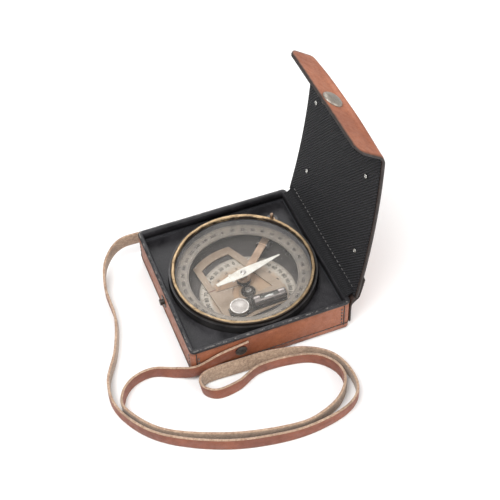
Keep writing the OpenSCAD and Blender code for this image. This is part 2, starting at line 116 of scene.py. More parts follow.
# ---------------------------------------------------------------- materials
class Shader:
    """A Principled material with short calls for its procedural nodes."""

    def __init__(self, name, roughness=0.5, metallic=0.0, **sockets):
        self.material = bpy.data.materials.new(name)
        self.material.use_nodes = True
        self.tree = self.material.node_tree
        self.tree.nodes.clear()
        out = self.add("ShaderNodeOutputMaterial")
        self.bsdf = self.add("ShaderNodeBsdfPrincipled")
        self.tree.links.new(self.bsdf.outputs[0], out.inputs[0])
        self.bsdf.inputs["Roughness"].default_value = roughness
        self.bsdf.inputs["Metallic"].default_value = metallic
        for key, value in sockets.items():
            self.bsdf.inputs[key.replace("_", " ")].default_value = value
        self.place = self.add("ShaderNodeTexCoord").outputs["Object"]

    def add(self, kind, **props):
        node = self.tree.nodes.new(kind)
        for key, value in props.items():
            setattr(node, key, value)
        return node

    def put(self, socket, value):
        """Links a socket's value, or sets a constant one."""
        if isinstance(value, bpy.types.NodeSocket):
            self.tree.links.new(value, socket)
        elif isinstance(value, tuple) and len(value) == 3 and socket.type == "RGBA":
            socket.default_value = (*value, 1)
        else:
            socket.default_value = value

    def to(self, name, value):
        self.put(self.bsdf.inputs[name], value)

    def attribute(self, name, output="Vector"):
        return self.add("ShaderNodeAttribute", attribute_name=name).outputs[output]

    def noise(self, scale, detail=4, roughness=0.55, vector=None, distortion=0):
        node = self.add("ShaderNodeTexNoise")
        self.put(node.inputs["Vector"], vector or self.place)
        for key, value in (("Scale", scale), ("Detail", detail), ("Roughness", roughness),
                           ("Distortion", distortion)):
            node.inputs[key].default_value = value
        return node.outputs["Fac"]

    def cells(self, scale, vector=None, feature="F1"):
        node = self.add("ShaderNodeTexVoronoi", feature=feature)
        self.put(node.inputs["Vector"], vector or self.place)
        node.inputs["Scale"].default_value = scale
        return node.outputs["Distance"]

    def scaled(self, vector, scale):
        node = self.add("ShaderNodeVectorMath", operation="MULTIPLY")
        self.put(node.inputs[0], vector)
        node.inputs[1].default_value = scale
        return node.outputs[0]

    def parts(self, vector):
        node = self.add("ShaderNodeSeparateXYZ")
        self.put(node.inputs[0], vector)
        return node.outputs

    def math(self, operation, a, b=0.0):
        node = self.add("ShaderNodeMath", operation=operation)
        self.put(node.inputs[0], a)
        self.put(node.inputs[1], b)
        return node.outputs[0]

    def wave(self, u, v, along_u, along_v, pitch):
        """Sine of the place along one direction of a flat surface, from -1 to 1."""
        place = self.math("ADD", self.math("MULTIPLY", u, along_u),
                          self.math("MULTIPLY", v, along_v))
        return self.math("SINE", self.math("MULTIPLY", place, 2 * math.pi / pitch))

    def from_axis(self, centre):
        """Distance from the vertical axis through centre."""
        x, y, _ = self.parts(self.place)
        dx, dy = self.math("SUBTRACT", x, centre.x), self.math("SUBTRACT", y, centre.y)
        squares = (self.math("MULTIPLY", d, d) for d in (dx, dy))
        return self.math("SQRT", self.math("ADD", *squares))

    def span(self, value, low, high, a=0.0, b=1.0):
        """Maps low..high to a..b, and holds the ends."""
        node = self.add("ShaderNodeMapRange", clamp=True)
        self.put(node.inputs["Value"], value)
        for key, number in (("From Min", low), ("From Max", high), ("To Min", a), ("To Max", b)):
            node.inputs[key].default_value = number
        return node.outputs[0]

    def mix(self, factor, a, b, mode="MIX"):
        node = self.add("ShaderNodeMix", data_type="RGBA", blend_type=mode)
        self.put(node.inputs[0], factor)
        self.put(node.inputs[6], a)
        self.put(node.inputs[7], b)
        return node.outputs[2]

    def bump(self, height, distance, strength=1.0, normal=None):
        node = self.add("ShaderNodeBump")
        self.put(node.inputs["Height"], height)
        node.inputs["Distance"].default_value = distance
        node.inputs["Strength"].default_value = strength
        if normal:
            self.put(node.inputs["Normal"], normal)
        return node.outputs[0]


def leather(name, pale, deep, dark, grain=1500, gloss=(0.42, 0.66)):
    """Waxed hide: mottled colour, fine cell grain, scuffs, burnt edges where "edge" is 1."""
    s = Shader(name, Coat_Weight=0.08, Coat_Roughness=0.45)
    mottle = s.noise(38, 6, 0.62, distortion=0.4)
    colour = s.mix(s.span(mottle, 0.34, 0.66), deep, pale)
    fine = s.noise(260, 4, 0.6)
    colour = s.mix(s.span(fine, 0.50, 0.78, 0, 0.26), colour, dark)
    scuff = s.noise(90, 5, 0.75, s.scaled(s.place, (0.5, 0.5, 2.2)), 1.1)
    bright = tuple(min(1, c * 1.5) for c in pale)
    colour = s.mix(s.span(scuff, 0.60, 0.68, 0, 0.55), colour, bright)
    pits = s.cells(grain)
    colour = s.mix(s.span(pits, 0.35, 0.7, 0, 0.22), colour, dark)
    edge = s.attribute("edge", "Fac")
    worn = s.math("MULTIPLY", edge, s.span(fine, 0.3, 0.6, 0.65, 1))
    s.to("Base Color", s.mix(worn, colour, dark))
    s.to("Roughness", s.span(fine, 0.35, 0.65, *gloss))
    normal = s.bump(pits, 0.00012, 0.5)
    s.to("Normal", s.bump(s.noise(420, 5, 0.6), 0.00022, 0.5, normal))
    return s.material


def suede(name, pale, deep):
    """Flesh side of the hide: matt, fibrous and speckled."""
    s = Shader(name, 0.93, Sheen_Weight=0.35, Sheen_Roughness=0.6)
    fibre = s.noise(900, 5, 0.75, s.scaled(s.place, (0.7, 0.7, 1.0)), 0.6)
    blot = s.noise(85, 4, 0.6)
    colour = s.mix(s.span(fibre, 0.38, 0.62), deep, pale)
    colour = s.mix(s.span(blot, 0.52, 0.70, 0, 0.5), colour, tuple(0.5 * c for c in deep))
    s.to("Base Color", colour)
    s.to("Normal", s.bump(fibre, 0.0005, 0.8))
    return s.material


def cloth(name, ribbed):
    """Black lining cloth. The ribbed one has diagonal ribs, cut by finer threads, with painted
    highlights on the rib crests and painted shade in the valleys.
    """
    s = Shader(name, 0.82, Specular_IOR_Level=0.25, Sheen_Weight=0.04, Sheen_Roughness=0.5)
    surface = s.attribute("surf")
    u, v, _ = s.parts(surface)
    dust = s.noise(55, 6, 0.7)
    base = s.mix(s.span(dust, 0.4, 0.7), (0.006, 0.006, 0.008), (0.017, 0.017, 0.021))
    if ribbed:
        cos, sin = math.cos(RIB_ANGLE), math.sin(RIB_ANGLE)
        rib = s.span(s.wave(u, v, sin, cos, RIB_PITCH), -0.8, 1)
        thread = s.span(s.wave(u, v, cos, -sin, THREAD_PITCH), -1, 1)
        height = s.math("ADD", rib, s.math("MULTIPLY", thread, 0.8))
        # painted light on the ribs: the crests are mixed towards grey as a painted highlight, and
        # the valleys towards near black as painted shade
        rib_highlight_and_shade = s.math("MULTIPLY", rib, s.span(thread, 0, 1, 0.45, 1))
        base = s.mix(s.span(rib_highlight_and_shade, 0.08, 0.85, 0, 0.85), (0.0030, 0.0030, 0.0040),
                     s.mix(0.55, base, (0.056, 0.055, 0.066)))
        lint = s.noise(700, 3, 0.8)
        base = s.mix(s.span(lint, 0.68, 0.74, 0, 0.6), base, (0.12, 0.12, 0.12))
        s.to("Normal", s.bump(height, 0.0007, 1.0))
    else:
        weave = s.cells(1700)
        base = s.mix(s.span(weave, 0.2, 0.7), base, (0.05, 0.05, 0.055))
        s.to("Normal", s.bump(weave, 0.00015, 0.6))
    s.to("Base Color", base)
    return s.material


def leatherette():
    """Black bookcloth, rubbed grey in patches that are partly painted sheen, with a painted
    highlight as a broken whitish line along the rim's crest.
    """
    s = Shader("black_leatherette", 0.4, Specular_IOR_Level=0.35)
    # grey patches: partly rubbed wear and partly painted sheen, their pale tone raised to stand
    # for the reflection on the cloth
    rub_and_sheen = s.noise(48, 7, 0.72, distortion=0.5)
    base = s.mix(s.span(rub_and_sheen, 0.38, 0.68), (0.008, 0.0075, 0.009), (0.040, 0.038, 0.042))
    specks = s.noise(620, 4, 0.8)
    base = s.mix(s.span(specks, 0.62, 0.70, 0, 0.5), base, (0.075, 0.07, 0.07))
    # painted highlight: a broken whitish line along the rim's crest, where the edge attribute is
    # set on the rim
    crest_highlight = s.attribute("edge", "Fac")
    highlight_breaks = s.span(s.noise(230, 5, 0.8), 0.50, 0.60)
    base = s.mix(s.math("MULTIPLY", crest_highlight, highlight_breaks), base, (0.30, 0.28, 0.26))
    s.to("Base Color", base)
    s.to("Roughness", s.span(rub_and_sheen, 0.3, 0.7, 0.34, 0.6))
    s.to("Normal", s.bump(s.cells(1300), 0.0002, 0.55))
    return s.material


def metal(name, pale, deep, stain, rough=(0.28, 0.5), scale=90, metallic=1.0, patina=0.55):
    """Aged metal: tone drifts, dark spots of tarnish and fine scratches."""
    s = Shader(name, metallic=metallic)
    drift = s.noise(scale, 5, 0.65, distortion=0.3)
    colour = s.mix(s.span(drift, 0.35, 0.68), deep, pale)
    spots = s.noise(scale * 5, 5, 0.75)
    colour = s.mix(s.span(spots, 0.56, 0.70, 0, patina), colour, stain)
    s.to("Base Color", colour)
    s.to("Roughness", s.span(spots, 0.35, 0.7, *rough))
    scratch = s.noise(700, 3, 0.7, s.scaled(s.place, (1, 4, 1)))
    s.to("Normal", s.bump(s.math("ADD", scratch, spots), 0.00006, 0.5))
    return s.material


def paint(name, pale, deep, rough=(0.45, 0.7), speck=None, scale=70):
    """Old matt paint or silvering, blotched and speckled."""
    s = Shader(name)
    blot = s.noise(scale, 6, 0.68, distortion=0.4)
    colour = s.mix(s.span(blot, 0.34, 0.68), deep, pale)
    fine = s.noise(1100, 3, 0.7)
    colour = s.mix(s.span(fine, 0.55, 0.70, 0, 0.45), colour, speck or deep)
    s.to("Base Color", colour)
    s.to("Roughness", s.span(blot, 0.3, 0.7, *rough))
    s.to("Normal", s.bump(fine, 0.00004, 0.5))
    return s.material


def clear(name, tint, alpha, rough=0.06):
    """Thin clear glass with a little dust that catches the light."""
    s = Shader(name, rough, IOR=1.5, Alpha=alpha)
    dust = s.noise(420, 6, 0.8)
    s.to("Base Color", s.mix(s.span(dust, 0.5, 0.75), tint, (0.50, 0.47, 0.43)))
    s.to("Roughness", s.span(dust, 0.4, 0.7, rough, rough + 0.15))
    return s.material


def bezel_face():
    """Brass worn bright along the crest, brown-black with tarnish on both slopes."""
    s = Shader("bezel_brass", metallic=0.8)
    tarnish, inner_slope, outer_slope = (0.050, 0.038, 0.030), (0.0433, 0.0437), (0.0451, 0.0455)
    drift = s.noise(60, 6, 0.7, distortion=0.4)
    brass = s.mix(s.span(drift, 0.36, 0.66), (0.23, 0.155, 0.085), (0.50, 0.365, 0.215))
    wander = s.math("MULTIPLY", s.math("SUBTRACT", drift, 0.5), 0.0035)
    wavy = s.math("ADD", s.from_axis(COMPASS), wander)
    colour = s.mix(s.span(wavy, *outer_slope), brass, tarnish)
    colour = s.mix(s.span(wavy, *inner_slope), tarnish, colour)
    spots = s.noise(420, 5, 0.75)
    s.to("Base Color", s.mix(s.span(spots, 0.55, 0.68, 0, 0.75), colour, (0.060, 0.042, 0.028)))
    s.to("Roughness", s.span(spots, 0.35, 0.7, 0.32, 0.6))
    s.to("Normal", s.bump(spots, 0.00006, 0.5))
    return s.material


def scale_face():
    """Silvered clinometer scale: pale band outside, orange-tan and mottled towards the pivot."""
    s = Shader("scale_silvered")
    tan_until, silver_from = 0.0235, 0.0285
    wander = s.math("MULTIPLY", s.noise(120, 4, 0.6), 0.006)
    blend = s.span(s.math("ADD", s.from_axis(PIVOT), wander), tan_until, silver_from)
    silver = s.mix(s.span(s.noise(80, 5, 0.7), 0.35, 0.65), (0.36, 0.315, 0.255),
                   (0.56, 0.505, 0.43))
    tan = s.mix(s.span(s.noise(60, 5, 0.6), 0.35, 0.65), (0.36, 0.22, 0.13), (0.50, 0.36, 0.24))
    s.to("Base Color", s.mix(blend, tan, silver))
    s.to("Roughness", s.span(s.noise(300, 4, 0.6), 0.3, 0.7, 0.42, 0.62))
    return s.material


HIDE = ((0.39, 0.132, 0.062), (0.275, 0.083, 0.037), (0.060, 0.026, 0.016))
M = {
    "leather": leather("leather", *HIDE),
    "strap_leather": leather("strap_leather", (0.29, 0.080, 0.034), (0.175, 0.043, 0.019),
                             (0.065, 0.030, 0.018), 1300),
    "flesh": suede("leather_flesh", (0.46, 0.325, 0.225), (0.235, 0.150, 0.098)),
    "cut": suede("leather_cut_edge", (0.52, 0.37, 0.26), (0.27, 0.155, 0.095)),
    "burnt": leather("leather_dark_edge", (0.060, 0.030, 0.021), (0.028, 0.016, 0.013),
                     (0.018, 0.012, 0.010)),
    "ribbed_cloth": cloth("ribbed_cloth", True),
    "black_cloth": cloth("black_cloth", False),
    "black_leatherette": leatherette(),
    "dark_metal": metal("dark_metal", (0.13, 0.12, 0.11), (0.045, 0.042, 0.040),
                        (0.10, 0.055, 0.030), (0.35, 0.6)),
    "snap_metal": metal("snap_metal", (0.42, 0.38, 0.33), (0.26, 0.23, 0.20),
                        (0.10, 0.085, 0.07), (0.38, 0.6), 160, 0.85, 0.8),
    "rivet_metal": metal("rivet_metal", (0.85, 0.84, 0.80), (0.6, 0.59, 0.56),
                         (0.2, 0.19, 0.17), (0.18, 0.35)),
    "housing_black": metal("housing_black", (0.060, 0.056, 0.055), (0.018, 0.017, 0.018),
                           (0.12, 0.085, 0.045), (0.32, 0.55), 70, 0.25, 0.5),
    "bezel_brass": bezel_face(),
    "brass": metal("brass", (0.44, 0.315, 0.225), (0.28, 0.19, 0.13), (0.10, 0.07, 0.05),
                   (0.38, 0.6), 120, 0.75),
    "cover_glass": clear("cover_glass", (0.30, 0.28, 0.26), 0.07),
    "wall_grey": paint("wall_grey", (0.17, 0.170, 0.178), (0.085, 0.085, 0.092)),
    "ring_silvered": paint("ring_silvered", (0.345, 0.295, 0.24), (0.20, 0.178, 0.155),
                           (0.4, 0.65), (0.10, 0.09, 0.08)),
    "dial_dark": paint("dial_dark", (0.088, 0.077, 0.072), (0.048, 0.043, 0.042)),
    "scale_silvered": scale_face(),
    "steel": metal("steel", (0.62, 0.60, 0.57), (0.36, 0.34, 0.32), (0.12, 0.10, 0.09)),
    "spring_steel": metal("spring_steel", (0.55, 0.54, 0.52), (0.35, 0.34, 0.33),
                          (0.12, 0.11, 0.10)),
    "needle_white": paint("needle_white", (0.86, 0.84, 0.78), (0.66, 0.62, 0.54), (0.35, 0.5),
                          (0.40, 0.36, 0.30), 160),
    "jewel_red": clear("jewel_red", (0.35, 0.02, 0.05), 1.0),
    "level_metal": metal("level_metal", (0.44, 0.395, 0.375), (0.24, 0.215, 0.205),
                         (0.06, 0.055, 0.05), (0.26, 0.45), 130, 0.9),
    "level_glass": clear("level_glass", (0.72, 0.74, 0.66), 0.16, 0.03),
    "level_lens": clear("level_lens", (0.90, 0.83, 0.78), 0.62, 0.10),
    "level_white": paint("level_white", (0.88, 0.88, 0.86), (0.74, 0.74, 0.71), (0.25, 0.4)),
    "plate_tan": paint("plate_tan", (0.43, 0.335, 0.25), (0.31, 0.225, 0.155), (0.34, 0.55),
                       (0.17, 0.12, 0.085)),
    "ink": paint("dial_ink", (0.030, 0.025, 0.022), (0.010, 0.009, 0.009)),
    "index": paint("index_red", (0.23, 0.075, 0.045), (0.13, 0.040, 0.028)),
    "thread": suede("dark_thread", (0.075, 0.058, 0.048), (0.024, 0.019, 0.017)),
    "pale_thread": suede("pale_thread", (0.20, 0.19, 0.18), (0.10, 0.095, 0.09)),
}


# ---------------------------------------------------------------- mesh helpers
def make_object(name, verts, faces, materials, indices=None, edge=None, surf=None):
    """A smooth mesh; edge and surf are the point attributes that the materials read."""
    mesh = bpy.data.meshes.new(name)
    mesh.from_pydata([tuple(v) for v in verts], [], faces)
    for material in materials:
        mesh.materials.append(material)
    if indices:
        mesh.polygons.foreach_set("material_index", indices)
    mesh.polygons.foreach_set("use_smooth", [True] * len(mesh.polygons))
    if edge:
        mesh.attributes.new("edge", "FLOAT", "POINT").data.foreach_set("value", edge)
    if surf:
        flat = [c for point in surf for c in point]
        mesh.attributes.new("surf", "FLOAT_VECTOR", "POINT").data.foreach_set("vector", flat)
    mesh.update()
    obj = bpy.data.objects.new(name, mesh)
    bpy.context.collection.objects.link(obj)
    return obj


def finish_piece(obj, body=None, replaces=(), across=None):
    """Hides the CAD nodes that the piece stands for, and hangs the piece on its body, or only
    bakes its transform when it spans bodies.
    """
    if replaces:
        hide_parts(*replaces)
    if across:
        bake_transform(obj)
    else:
        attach(obj, body)
    return obj


def plain_piece(name, verts, faces, material, body, replaces=()):
    """A piece of one material on one body."""
    return finish_piece(make_object(name, verts, faces, (M[material],)), body, replaces)


def spline(points, steps):
    """Catmull-Rom curve through points."""
    out, last = [], len(points) - 1
    for i in range(last):
        a, b = points[max(i - 1, 0)], points[i]
        c, d = points[i + 1], points[min(i + 2, last)]
        for k in range(steps):
            t = k / steps
            out.append(0.5 * (2 * b + (c - a) * t + (2 * a - 5 * b + 4 * c - d) * t * t
                              + (3 * b - a - 3 * c + d) * t * t * t))
    out.append(points[last].copy())
    return out


def flutter(point, scale, amount):
    """Smooth noise at a point, up to amount either way."""
    return noise.noise(Vector(point) * scale) * amount


def loft(rings, wrap=False):
    """Mesh over rings of equal count. Its ends are closed, or joined to each other by wrap."""
    n, last, faces = len(rings[0]), len(rings) - 1, []
    pairs = [(i, i + 1) for i in range(last)]
    if wrap:
        pairs.append((last, 0))
    for i, j in pairs:
        for k in range(n):
            m = (k + 1) % n
            faces.append((i * n + k, i * n + m, j * n + m, j * n + k))
    if not wrap:
        faces.append(tuple(range(n - 1, -1, -1)))
        faces.append(tuple(last * n + k for k in range(n)))
    return [p for ring in rings for p in ring], faces


def circle(centre, a, b, radius, sides=8):
    """Points round a circle in the plane of the directions a and b."""
    turns = [2 * math.pi * k / sides for k in range(sides)]
    return [centre + a * (radius * math.cos(t)) + b * (radius * math.sin(t)) for t in turns]


def add_mesh(verts, faces, more_verts, more_faces):
    """Adds a mesh to the lists verts and faces."""
    base = len(verts)
    verts += more_verts
    faces += [tuple(base + i for i in face) for face in more_faces]


# ---------------------------------------------------------------- strap (the free cord)
def strap_section():
    """(across, up) outline of the band with rounded edges, anticlockwise."""
    half_t, half_w, r = STRAP_T / 2, STRAP_W / 2, 0.00055
    out = []
    for sx, sy, first in ((1, -1, 270), (1, 1, 0), (-1, 1, 90), (-1, -1, 180)):
        for k in range(4):
            a = math.radians(first + 30 * k)
            out.append((sx * (half_t - r) + r * math.cos(a), sy * (half_w - r) + r * math.sin(a)))
    return out


def strap_lean(s):
    """Lean in degrees at place s of the route: its second pass leans back against the case."""
    most, middle, reach, sway, rate = 38, 21.6, 1.7, 2.5, 1.7
    return most * math.exp(-((s - middle) / reach) ** 2) + sway * math.sin(s * rate)


def build_strap():
    """One band from rivet to rivet: grain outside, flesh inside and cut edges."""
    dark_from, darkness, cut_from, clearance = 0.0042, 0.45, 0.0043, 0.0001
    path = spline([Vector(p) * 0.001 for p in STRAP_MM], STRAP_STEPS)
    section = strap_section()
    rings, edge = [], []
    for i, p in enumerate(path):
        d = path[min(i + 1, len(path) - 1)] - path[max(i - 1, 0)]
        left = Vector((-d.y, d.x, 0)).normalized()
        t = math.radians(strap_lean(i / STRAP_STEPS))
        side = left * math.cos(t) - Z_AXIS * math.sin(t)
        up = left * math.sin(t) + Z_AXIS * math.cos(t)
        sink = Vector((0, 0, (1 - math.cos(t)) * -STRAP_W / 2))
        wide = 1 + flutter(p, 60, 0.04)
        ring = [p + sink + side * a + up * (b * wide) for a, b in section]
        low = min(v.z for v in ring)
        if low < clearance:
            ring = [v + Vector((0, 0, clearance - low)) for v in ring]
        rings.append(ring)
        edge += [darkness if abs(b) > dark_from else 0.0 for _, b in section]
    verts, faces = loft(rings)
    n, kinds = len(section), []
    for face in faces:
        a, b = section[face[0] % n], section[face[1] % n]
        x, y = (a[0] + b[0]) / 2, (a[1] + b[1]) / 2
        kinds.append(2 if abs(y) > cut_from or len(face) > 4 else (0 if x > 0 else 1))
    obj = make_object("strap_band", verts, faces, (M["strap_leather"], M["flesh"], M["cut"]),
                      kinds, edge)
    finish_piece(obj, "case", ["strap"])


build_strap()


# ---------------------------------------------------------------- case
def rect_ring(hx, hy, r, z, bulge=0.0, straight=18, corner=6):
    """Rounded rectangle at height z, anticlockwise, with its sides bowed out by bulge."""
    out = []
    for sx, sy, a0 in ((1, -1, -90), (1, 1, 0), (-1, 1, 90), (-1, -1, 180)):
        cx, cy = sx * (hx - r), sy * (hy - r)
        for k in range(corner + 1):
            a = math.radians(a0 + 90 * k / corner)
            out.append(Vector((cx + r * math.cos(a), cy + r * math.sin(a), z)))
        start = out[-1]
        end_x, end_y = {-90: (hx, hy - r), 0: (-hx + r, hy), 90: (-hx, -hy + r),
                        180: (hx - r, -hy)}[a0]
        end = Vector((end_x, end_y, z))
        along = (end - start).normalized()
        out_dir = Vector((along.y, -along.x, 0))
        for k in range(1, straight):
            t = k / straight
            out.append(start.lerp(end, t) + out_dir * (bulge * math.sin(math.pi * t)))
    return out


def case_rings(levels):
    """Rings from (z, inset, corner radius, bulge, edge) levels."""
    rings, edge = [], []
    # the edge value darkens the leather's edges, and on the rim leatherette it sets the painted
    # highlight along the crest
    for z, inset, r, bulge, burnt in levels:
        ring = rect_ring(CASE_HX - inset, CASE_HY - inset, r, z, bulge)
        rings.append(ring)
        edge += [burnt] * len(ring)
    return rings, edge


def build_case():
    """Leather walls and floor, the cloth inside them, and the leatherette over the rim."""
    levels = [(0, 0.0022, 0.001, 0, 1), (0.00012, 0.0009, 0.0021, 0, 1),
              (0.0006, 0.0002, 0.0028, 0, 0.9), (0.0014, 0, CASE_R, 0, 0.35)]
    levels += [(z, 0, CASE_R, 0.00012, 0) for z in (0.004, 0.008, 0.012, 0.016, 0.020)]
    levels += [(0.0228, 0, CASE_R, 0, 0.25), (0.0236, 0.00005, CASE_R, 0, 0.8),
               (WALL_H, 0.0004, 0.0028, 0, 1), (WALL_H, 0.0018, 0.0006, 0, 1),
               (0.0238, 0.002, 0.0003, 0, 1), (FLOOR_T, 0.002, 0.0003, 0, 1)]
    rings, edge = case_rings(levels)
    for ring in rings[4:9]:
        for v in ring:
            v.xy += v.xy.normalized() * flutter(v, 70, 0.00012)
    verts, faces = loft(rings)
    obj = make_object("case_leather", verts, faces, (M["leather"],), None, edge)
    finish_piece(obj, "case", ["case_body"])

    levels = [(FLOOR_T + 0.00002, 0.0021, 0.0003, 0, 0), (0.0236, 0.0021, 0.0003, 0, 0),
              (WALL_H, 0.0022, 0.0003, 0, 0), (WALL_H, 0.0027, 0.0003, 0, 0),
              (0.0236, 0.0028, 0.0003, 0, 0), (FLOOR_T + CLOTH_T, 0.0028, 0.0003, 0, 0)]
    rings, edge = case_rings(levels)
    verts, faces = loft(rings)
    obj = make_object("case_cloth", verts, faces, (M["black_cloth"],), None, edge, verts)
    finish_piece(obj, "case", ["case_lining"])

    # the last number of each row is the edge value, here the strength of the painted highlight
    # along the crest
    section = [(WALL_H - 0.0006, -0.0002, 0.0031, 0), (WALL_H + 0.0004, -0.00035, 0.0032, 0),
               (WALL_H + 0.0009, -0.0001, 0.0030, 0), (RIM_TOP - 0.0001, 0.0004, 0.0026, 0.45),
               (RIM_TOP, 0.00075, 0.0022, 0.8), (RIM_TOP, 0.0011, 0.0018, 0),
               (RIM_TOP, 0.0018, 0.0012, 0),
               (RIM_TOP - 0.0003, 0.0025, 0.0005, 0), (WALL_H + 0.0002, 0.0029, 0.0003, 0),
               (0.0196, 0.0030, 0.0003, 0), (0.0196, 0.0026, 0.0003, 0),
               (WALL_H - 0.0003, 0.0022, 0.0005, 0)]
    rings, edge = case_rings([(z, inset, r, 0, e) for z, inset, r, e in section])
    for ring in rings:
        for v in ring:
            v.z += flutter(v, 45, 0.00022) if v.z > WALL_H else 0
    verts, faces = loft(rings, wrap=True)
    obj = make_object("rim_leatherette", verts, faces, (M["black_leatherette"],), None, edge)
    finish_piece(obj, "case", ["rim_binding"])


build_case()


# ---------------------------------------------------------------- lid, flap and hinge
def turned(t):
    """Direction (along, outward) for a lean of t from upright, towards +X."""
    return Vector((math.sin(t), 0, math.cos(t))), Vector((math.cos(t), 0, -math.sin(t)))


LID_DIR, LID_OUT = turned(LID_LEAN)
FLAP_DIR, FLAP_OUT = turned(LID_LEAN - FLAP_BEND)
FOLD = HINGE + LID_DIR * LID_LEN


def lid_point(u):
    """Middle of the lid's inner face, bowed outward, at a distance u from the hinge."""
    half = LID_LEN / 2
    bow = LID_BOW * (1 - ((u - half) / half) ** 2)
    return HINGE + LID_DIR * u + LID_OUT * bow


def half_width(u, inset):
    """Half the width of the lid and flap at a distance u from the hinge."""
    if u < LID_LEN:
        return LID_HALF + (FOLD_HALF - LID_HALF) * u / LID_LEN - inset
    v = u - LID_LEN - (FLAP_LEN - TAB_R)
    round_off = TAB_R - math.sqrt(max(0, TAB_R ** 2 - v * v)) if v > 0 else 0
    return FOLD_HALF - inset - round_off


def fold_arch(u, y):
    """How far the fold line arches up past a straight one at y, fading out on either side."""
    reach = BOW_ON_LID if u < LID_LEN else BOW_ON_FLAP
    t = max(0, 1 - abs(u - LID_LEN) / reach)
    return FOLD_BOW * t * t * (3 - 2 * t) * max(0, 1 - (y / FOLD_HALF) ** 2)


def lid_spine(start, stop):
    """(point on the inner face, u) from the hinge over the fold to the flap's free edge."""
    rows = []
    flat, on_lid, on_fold, on_flap = LID_LEN - FOLD_CUT, 60, 12, 20
    for k in range(on_lid + 1):
        u = start + (flat - start) * k / on_lid
        rows.append((lid_point(u), u))
    a, c = lid_point(flat), FOLD + FLAP_DIR * FOLD_CUT
    for k in range(1, on_fold + 1):
        t = k / on_fold
        p = a * (1 - t) ** 2 + FOLD * (2 * t * (1 - t)) + c * t * t
        rows.append((p, flat + 2 * FOLD_CUT * t))
    for k in range(1, on_flap + 1):
        v = FOLD_CUT + (stop - FOLD_CUT) * math.sin(math.pi / 2 * k / on_flap)
        rows.append((FOLD + FLAP_DIR * v, LID_LEN + v))
    return rows


def slab(name, rows, t0, t1, inset, materials, wave, width=half_width, across=46, rim=0.00035,
         edge_span=0.0012):
    """A sheet of leather or cloth along rows, between depths t0 and t1 outward, with soft edges.
    Materials are the outer face, the inner face and the cut edge."""
    rings, edge, surf = [], [], []
    last, calm = len(rows) - 1, 0.006
    for i, (p, u) in enumerate(rows):
        d = (rows[min(i + 1, last)][0] - rows[max(i - 1, 0)][0]).normalized()
        out = Vector((d.z, 0, -d.x))
        half = width(u, inset)
        ring = []
        for face in (1, 0):
            for k in range(across + 1):
                t = -1 + 2 * k / across
                if not face:
                    t = -t
                y = half * t
                soft = rim * max(0, 1 - (half - abs(y)) / edge_span) ** 2
                soft += rim * max(0, 1 - min(i, last - i) / 2) ** 2
                depth = t1 - soft if face else t0 + soft * 0.5
                ripple = flutter((u, y, 0.3), 30, wave) * min(1, (half - abs(y)) / calm)
                arch = LID_DIR * fold_arch(u, y) if width is half_width else Vector()
                ring.append(p + out * (depth + ripple) + Y_AXIS * y + arch)
                border = min(half - abs(y), abs(u - rows[0][1]), abs(rows[-1][1] - u))
                edge.append(max(0, 1 - border / edge_span))
                surf.append((u, y, depth))
        rings.append(ring)
    verts, faces = loft(rings)
    n, kinds = len(rings[0]), []
    for face in faces:
        column = face[0] % n
        cut = len(face) > 4 or column in (across, n - 1)
        kinds.append(2 if cut else (0 if column < across else 1))
    return make_object(name, verts, faces, materials, kinds, edge, surf)


FOLD_SPAN = (tuple(FOLD - LID_DIR * 0.004), tuple(FOLD + FLAP_DIR * 0.003))


def build_lid():
    """Leather and ribbed cloth over lid and flap, each one sheet that bends at the fold."""
    wave, cloth_inset, cloth_short = 0.0003, 0.0011, 0.001
    rows = lid_spine(LID_GAP, FLAP_LEN)
    obj = slab("lid_cover", rows, CLOTH_T, LID_T, 0, (M["leather"], M["burnt"], M["burnt"]), wave)
    finish_piece(obj, None, ["lid_leather", "flap_leather"],
                 ("lid", "flap", *FOLD_SPAN))
    rows = lid_spine(LID_GAP, FLAP_LEN - cloth_short)
    obj = slab("lid_cloth", rows, 0, CLOTH_T, cloth_inset, (M["ribbed_cloth"],) * 3, wave)
    finish_piece(obj, None, ["lid_lining", "flap_lining"],
                 ("lid", "flap", *FOLD_SPAN))


build_lid()


def build_hinge():
    """Leather over the outside of the hinge and cloth over the inside, both shaped round its bend.
    """
    wave, leather_t, cloth_t = 0.0001, 0.0013, 0.0003
    outer = [Vector((0.05205, 0, z)) for z in (0.004, 0.010, 0.016)]
    outer += [Vector((0.0525, 0, 0.0205)), Vector((0.0545, 0, 0.0232)),
              Vector((0.0570, 0, 0.0255))]
    for u in (0.0035, 0.007, 0.0115, 0.016):
        outer.append(lid_point(u) + LID_OUT * (LID_T + 0.00005))
    path = spline(outer, 6)
    rows = [(p, 0.0005 * i) for i, p in enumerate(path)]
    obj = slab("hinge_leather", rows, 0, leather_t, 0, (M["leather"], M["burnt"], M["burnt"]),
               wave, lambda u, inset: HINGE_HALF)
    finish_piece(obj, None, ["hinge_strip"],
                 ("case", "lid", (0.0525, 0, 0.0215), (0.0575, 0, 0.0285)))

    inner = [Vector((0.0494, 0, 0.0200)), Vector((0.0494, 0, 0.0235)),
             Vector((0.0500, 0, 0.0256)), Vector((0.0522, 0, 0.0260)),
             lid_point(0.0022) - LID_OUT * 0.0004, lid_point(0.0045) - LID_OUT * 0.0003]
    path = spline(inner, 6)
    rows = [(p, 0.0008 * i) for i, p in enumerate(path)]
    obj = slab("hinge_cloth", rows, 0, cloth_t, 0, (M["ribbed_cloth"],) * 3, wave,
               lambda u, inset: HINGE_CLOTH_HALF)
    finish_piece(obj, None, (),
                 ("case", "lid", (0.0515, 0, 0.0245), (0.0553, 0, 0.0275)))


build_hinge()


def heading(points, i, closed):
    """Direction of a line of points at its point i."""
    last = len(points) - 1
    a = points[i - 1] if closed or i else points[0]
    b = points[(i + 1) % len(points)] if closed or i < last else points[last]
    return (b - a).normalized()


